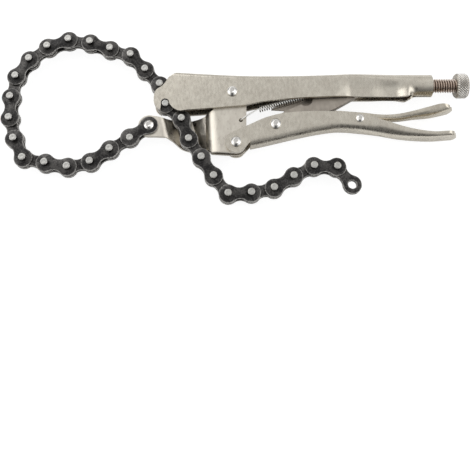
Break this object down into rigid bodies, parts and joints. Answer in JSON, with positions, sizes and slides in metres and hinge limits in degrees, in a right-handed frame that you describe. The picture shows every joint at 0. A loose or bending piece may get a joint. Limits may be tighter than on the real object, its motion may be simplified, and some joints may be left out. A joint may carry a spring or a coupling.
{
  "type": "chain clamp",
  "caption": "Locking chain-clamp pliers: two pressed-steel handles with an over-centre toggle, an adjusting screw, a release lever and a roller chain hooked into a loop.",
  "frame": {"origin": "centre of the outline, at the lowest face, on which the tool lies", "axes": "+X along the handles toward the adjusting knob, +Y toward the upper handle's back, +Z along the rivets and chain pins, away from the surface the tool lies on"},
  "size_m": [0.3324, 0.128, 0.0198],
  "materials": {
    "nickel_plated_steel": "satin",
    "screw_steel": "satin",
    "rivet_steel": "bright",
    "spring_wire": "bright",
    "chain_steel": "blackened, lightly oiled"
  },
  "bodies": {
    "upper_handle": {"upper_handle": "nickel_plated_steel", "jaw_rivet": "rivet_steel", "tension_spring": "spring_wire"},
    "adjusting_screw": {"adjusting_screw": "screw_steel"},
    "lower_jaw": {"lower_jaw": "nickel_plated_steel", "chain_rivet": "rivet_steel"},
    "lower_handle": {"lower_handle": "nickel_plated_steel", "handle_rivet": "rivet_steel", "toggle_rivet": "rivet_steel", "lever_rivet": "rivet_steel"},
    "toggle_link": {"toggle_link": "nickel_plated_steel"},
    "release_lever": {"release_lever": "nickel_plated_steel"},
    "chain_link_01_outer": {"chain_link_01_outer": "chain_steel"},
    "chain_link_02_inner": {"chain_link_02_inner": "chain_steel"},
    "chain_link_03_outer": {"chain_link_03_outer": "chain_steel"},
    "chain_link_04_inner": {"chain_link_04_inner": "chain_steel"},
    "chain_link_05_outer": {"chain_link_05_outer": "chain_steel"},
    "chain_link_06_inner": {"chain_link_06_inner": "chain_steel"},
    "chain_link_07_outer": {"chain_link_07_outer": "chain_steel"},
    "chain_link_08_inner": {"chain_link_08_inner": "chain_steel"},
    "chain_link_09_outer": {"chain_link_09_outer": "chain_steel"},
    "chain_link_10_inner": {"chain_link_10_inner": "chain_steel"},
    "chain_link_11_outer": {"chain_link_11_outer": "chain_steel"},
    "chain_link_12_inner": {"chain_link_12_inner": "chain_steel"},
    "chain_link_13_outer": {"chain_link_13_outer": "chain_steel"},
    "chain_link_14_inner": {"chain_link_14_inner": "chain_steel"},
    "chain_link_15_outer": {"chain_link_15_outer": "chain_steel"},
    "chain_link_16_inner": {"chain_link_16_inner": "chain_steel"},
    "chain_link_17_outer": {"chain_link_17_outer": "chain_steel"},
    "chain_link_18_inner": {"chain_link_18_inner": "chain_steel"},
    "chain_link_19_outer": {"chain_link_19_outer": "chain_steel"},
    "chain_link_20_inner": {"chain_link_20_inner": "chain_steel"},
    "chain_link_21_outer": {"chain_link_21_outer": "chain_steel"},
    "chain_link_22_inner": {"chain_link_22_inner": "chain_steel"},
    "chain_link_23_outer": {"chain_link_23_outer": "chain_steel"},
    "chain_link_24_inner": {"chain_link_24_inner": "chain_steel"},
    "chain_link_25_outer": {"chain_link_25_outer": "chain_steel"},
    "chain_link_26_inner": {"chain_link_26_inner": "chain_steel"},
    "chain_link_27_outer": {"chain_link_27_outer": "chain_steel"},
    "chain_link_28_inner": {"chain_link_28_inner": "chain_steel"},
    "chain_link_29_outer": {"chain_link_29_outer": "chain_steel"},
    "chain_link_30_inner": {"chain_link_30_inner": "chain_steel"}
  },
  "joints": [
    {"name": "screw_travel", "type": "slide", "parent": "upper_handle", "child": "adjusting_screw", "axis": [1, 0, 0], "range_m": [0, 0.012]},
    {"name": "jaw_pivot", "type": "hinge", "parent": "upper_handle", "child": "lower_jaw", "pos_m": [-0.00222, 0.01553, 0.01014], "axis": [0, 0, 1], "range_deg": [0, 5.04], "deforming": ["tension_spring"]},
    {"name": "handle_pivot", "type": "hinge", "parent": "lower_jaw", "child": "lower_handle", "pos_m": [0.00048, -0.02167, 0.01014], "axis": [0, 0, 1], "range_deg": [-28, 0]},
    {"name": "toggle_pivot", "type": "hinge", "parent": "lower_handle", "child": "toggle_link", "pos_m": [0.02818, -0.00867, 0.01014], "axis": [0, 0, 1], "range_deg": [0, 33.18]},
    {"name": "release_lever_pivot", "type": "hinge", "parent": "lower_handle", "child": "release_lever", "pos_m": [0.08708, -0.0046, 0.01014], "axis": [0, 0, 1], "range_deg": [-8, 3]},
    {"name": "chain_pin_00_turn", "type": "hinge", "parent": "lower_jaw", "child": "chain_link_01_outer", "pos_m": [-0.06072, -0.00827, 0.01014], "axis": [0, 0, 1], "range_deg": [-40, 40]},
    {"name": "chain_pin_01_turn", "type": "hinge", "parent": "chain_link_01_outer", "child": "chain_link_02_inner", "pos_m": [-0.07388, -0.01715, 0.01014], "axis": [0, 0, 1], "range_deg": [-40, 40]},
    {"name": "chain_pin_02_turn", "type": "hinge", "parent": "chain_link_02_inner", "child": "chain_link_03_outer", "pos_m": [-0.08719, -0.0258, 0.01014], "axis": [0, 0, 1], "range_deg": [-40, 40]},
    {"name": "chain_pin_03_turn", "type": "hinge", "parent": "chain_link_03_outer", "child": "chain_link_04_inner", "pos_m": [-0.1002, -0.0349, 0.01014], "axis": [0, 0, 1], "range_deg": [-40, 40]},
    {"name": "chain_pin_04_turn", "type": "hinge", "parent": "chain_link_04_inner", "child": "chain_link_05_outer", "pos_m": [-0.11567, -0.03847, 0.01014], "axis": [0, 0, 1], "range_deg": [-40, 40]},
    {"name": "chain_pin_05_turn", "type": "hinge", "parent": "chain_link_05_outer", "child": "chain_link_06_inner", "pos_m": [-0.13128, -0.03558, 0.01014], "axis": [0, 0, 1], "range_deg": [-40, 40]},
    {"name": "chain_pin_06_turn", "type": "hinge", "parent": "chain_link_06_inner", "child": "chain_link_07_outer", "pos_m": [-0.14677, -0.03214, 0.01014], "axis": [0, 0, 1], "range_deg": [-40, 40]},
    {"name": "chain_pin_07_turn", "type": "hinge", "parent": "chain_link_07_outer", "child": "chain_link_08_inner", "pos_m": [-0.15435, -0.01819, 0.01014], "axis": [0, 0, 1], "range_deg": [-40, 40]},
    {"name": "chain_pin_08_turn", "type": "hinge", "parent": "chain_link_08_inner", "child": "chain_link_09_outer", "pos_m": [-0.15899, -0.00301, 0.01014], "axis": [0, 0, 1], "range_deg": [-40, 40]},
    {"name": "chain_pin_09_turn", "type": "hinge", "parent": "chain_link_09_outer", "child": "chain_link_10_inner", "pos_m": [-0.15968, 0.01285, 0.01014], "axis": [0, 0, 1], "range_deg": [-40, 40]},
    {"name": "hook_turn", "type": "hinge", "parent": "upper_handle", "child": "chain_link_19_outer", "pos_m": [-0.04949, 0.0071, 0.01014], "axis": [0, 0, 1], "range_deg": [-40, 40]},
    {"name": "chain_pin_18_turn", "type": "hinge", "parent": "chain_link_19_outer", "child": "chain_link_18_inner", "pos_m": [-0.05413, 0.02228, 0.01014], "axis": [0, 0, 1], "range_deg": [-40, 40]},
    {"name": "chain_pin_17_turn", "type": "hinge", "parent": "chain_link_18_inner", "child": "chain_link_17_outer", "pos_m": [-0.06506, 0.0338, 0.01014], "axis": [0, 0, 1], "range_deg": [-40, 40]},
    {"name": "chain_pin_16_turn", "type": "hinge", "parent": "chain_link_17_outer", "child": "chain_link_16_inner", "pos_m": [-0.07599, 0.04531, 0.01014], "axis": [0, 0, 1], "range_deg": [-40, 40]},
    {"name": "chain_pin_15_turn", "type": "hinge", "parent": "chain_link_16_inner", "child": "chain_link_15_outer", "pos_m": [-0.09108, 0.05022, 0.01014], "axis": [0, 0, 1], "range_deg": [-40, 40]},
    {"name": "chain_pin_14_turn", "type": "hinge", "parent": "chain_link_15_outer", "child": "chain_link_14_inner", "pos_m": [-0.10605, 0.05552, 0.01014], "axis": [0, 0, 1], "range_deg": [-40, 40]},
    {"name": "chain_pin_13_turn", "type": "hinge", "parent": "chain_link_14_inner", "child": "chain_link_13_outer", "pos_m": [-0.12181, 0.05745, 0.01014], "axis": [0, 0, 1], "range_deg": [-40, 40]},
    {"name": "chain_pin_12_turn", "type": "hinge", "parent": "chain_link_13_outer", "child": "chain_link_12_inner", "pos_m": [-0.13672, 0.05202, 0.01014], "axis": [0, 0, 1], "range_deg": [-40, 40]},
    {"name": "chain_pin_11_turn", "type": "hinge", "parent": "chain_link_12_inner", "child": "chain_link_11_outer", "pos_m": [-0.14906, 0.04203, 0.01014], "axis": [0, 0, 1], "range_deg": [-40, 40]},
    {"name": "chain_pin_19_turn", "type": "hinge", "parent": "chain_link_19_outer", "child": "chain_link_20_inner", "pos_m": [-0.04949, 0.0071, 0.01014], "axis": [0, 0, 1], "range_deg": [-15, 15]},
    {"name": "chain_pin_20_turn", "type": "hinge", "parent": "chain_link_20_inner", "child": "chain_link_21_outer", "pos_m": [-0.03788, -0.00373, 0.01014], "axis": [0, 0, 1], "range_deg": [-15, 15]},
    {"name": "chain_pin_21_turn", "type": "hinge", "parent": "chain_link_21_outer", "child": "chain_link_22_inner", "pos_m": [-0.03245, -0.01864, 0.01014], "axis": [0, 0, 1], "range_deg": [-45, 2]},
    {"name": "chain_pin_22_turn", "type": "hinge", "parent": "chain_link_22_inner", "child": "chain_link_23_outer", "pos_m": [-0.02357, -0.03181, 0.01014], "axis": [0, 0, 1], "range_deg": [-45, 12]},
    {"name": "chain_pin_23_turn", "type": "hinge", "parent": "chain_link_23_outer", "child": "chain_link_24_inner", "pos_m": [-0.01493, -0.04512, 0.01014], "axis": [0, 0, 1], "range_deg": [-45, 12]},
    {"name": "chain_pin_24_turn", "type": "hinge", "parent": "chain_link_24_inner", "child": "chain_link_25_outer", "pos_m": [-0.00494, -0.05746, 0.01014], "axis": [0, 0, 1], "range_deg": [-40, 12]},
    {"name": "chain_pin_25_turn", "type": "hinge", "parent": "chain_link_25_outer", "child": "chain_link_26_inner", "pos_m": [0.01092, -0.05677, 0.01014], "axis": [0, 0, -1], "range_deg": [-15, 40]},
    {"name": "chain_pin_26_turn", "type": "hinge", "parent": "chain_link_26_inner", "child": "chain_link_27_outer", "pos_m": [0.02645, -0.05346, 0.01014], "axis": [0, 0, 1], "range_deg": [-40, 22]},
    {"name": "chain_pin_27_turn", "type": "hinge", "parent": "chain_link_27_outer", "child": "chain_link_28_inner", "pos_m": [0.03999, -0.04517, 0.01014], "axis": [0, 0, -1], "range_deg": [-35, 40]},
    {"name": "chain_pin_28_turn", "type": "hinge", "parent": "chain_link_28_inner", "child": "chain_link_29_outer", "pos_m": [0.05413, -0.03796, 0.01014], "axis": [0, 0, 1], "range_deg": [-40, 40]},
    {"name": "chain_pin_29_turn", "type": "hinge", "parent": "chain_link_29_outer", "child": "chain_link_30_inner", "pos_m": [0.07, -0.03852, 0.01014], "axis": [0, 0, -1], "range_deg": [-40, 40]}
  ],
  "couplings": [
    {"joint": "jaw_pivot", "follows": "handle_pivot", "ratio": -0.18},
    {"joint": "toggle_pivot", "follows": "handle_pivot", "ratio": -1.185},
    {"joint": "chain_pin_00_turn", "follows": "handle_pivot", "ratio": 0.0565},
    {"joint": "chain_pin_01_turn", "follows": "handle_pivot", "ratio": 0.0454},
    {"joint": "chain_pin_02_turn", "follows": "handle_pivot", "ratio": 0.0347},
    {"joint": "chain_pin_03_turn", "follows": "handle_pivot", "ratio": 0.0245},
    {"joint": "chain_pin_04_turn", "follows": "handle_pivot", "ratio": 0.0104},
    {"joint": "chain_pin_05_turn", "follows": "handle_pivot", "ratio": -0.0064},
    {"joint": "chain_pin_06_turn", "follows": "handle_pivot", "ratio": -0.0229},
    {"joint": "chain_pin_07_turn", "follows": "handle_pivot", "ratio": -0.0321},
    {"joint": "chain_pin_08_turn", "follows": "handle_pivot", "ratio": -0.0356},
    {"joint": "chain_pin_09_turn", "follows": "handle_pivot", "ratio": -0.0325},
    {"joint": "hook_turn", "follows": "handle_pivot", "ratio": -0.0194},
    {"joint": "chain_pin_18_turn", "follows": "handle_pivot", "ratio": -0.044},
    {"joint": "chain_pin_17_turn", "follows": "handle_pivot", "ratio": -0.0349},
    {"joint": "chain_pin_16_turn", "follows": "handle_pivot", "ratio": -0.0293},
    {"joint": "chain_pin_15_turn", "follows": "handle_pivot", "ratio": -0.022},
    {"joint": "chain_pin_14_turn", "follows": "handle_pivot", "ratio": -0.0165},
    {"joint": "chain_pin_13_turn", "follows": "handle_pivot", "ratio": -0.0099},
    {"joint": "chain_pin_12_turn", "follows": "handle_pivot", "ratio": -0.004},
    {"joint": "chain_pin_11_turn", "follows": "handle_pivot", "ratio": 0.0173},
    {"joint": "chain_pin_19_turn", "follows": "handle_pivot", "ratio": -0.0725},
    {"joint": "chain_pin_20_turn", "follows": "handle_pivot", "ratio": -0.0879},
    {"joint": "chain_pin_21_turn", "follows": "handle_pivot", "ratio": 0.4},
    {"joint": "chain_pin_22_turn", "follows": "handle_pivot", "ratio": 0.4},
    {"joint": "chain_pin_23_turn", "follows": "handle_pivot", "ratio": 0.3}
  ]
}
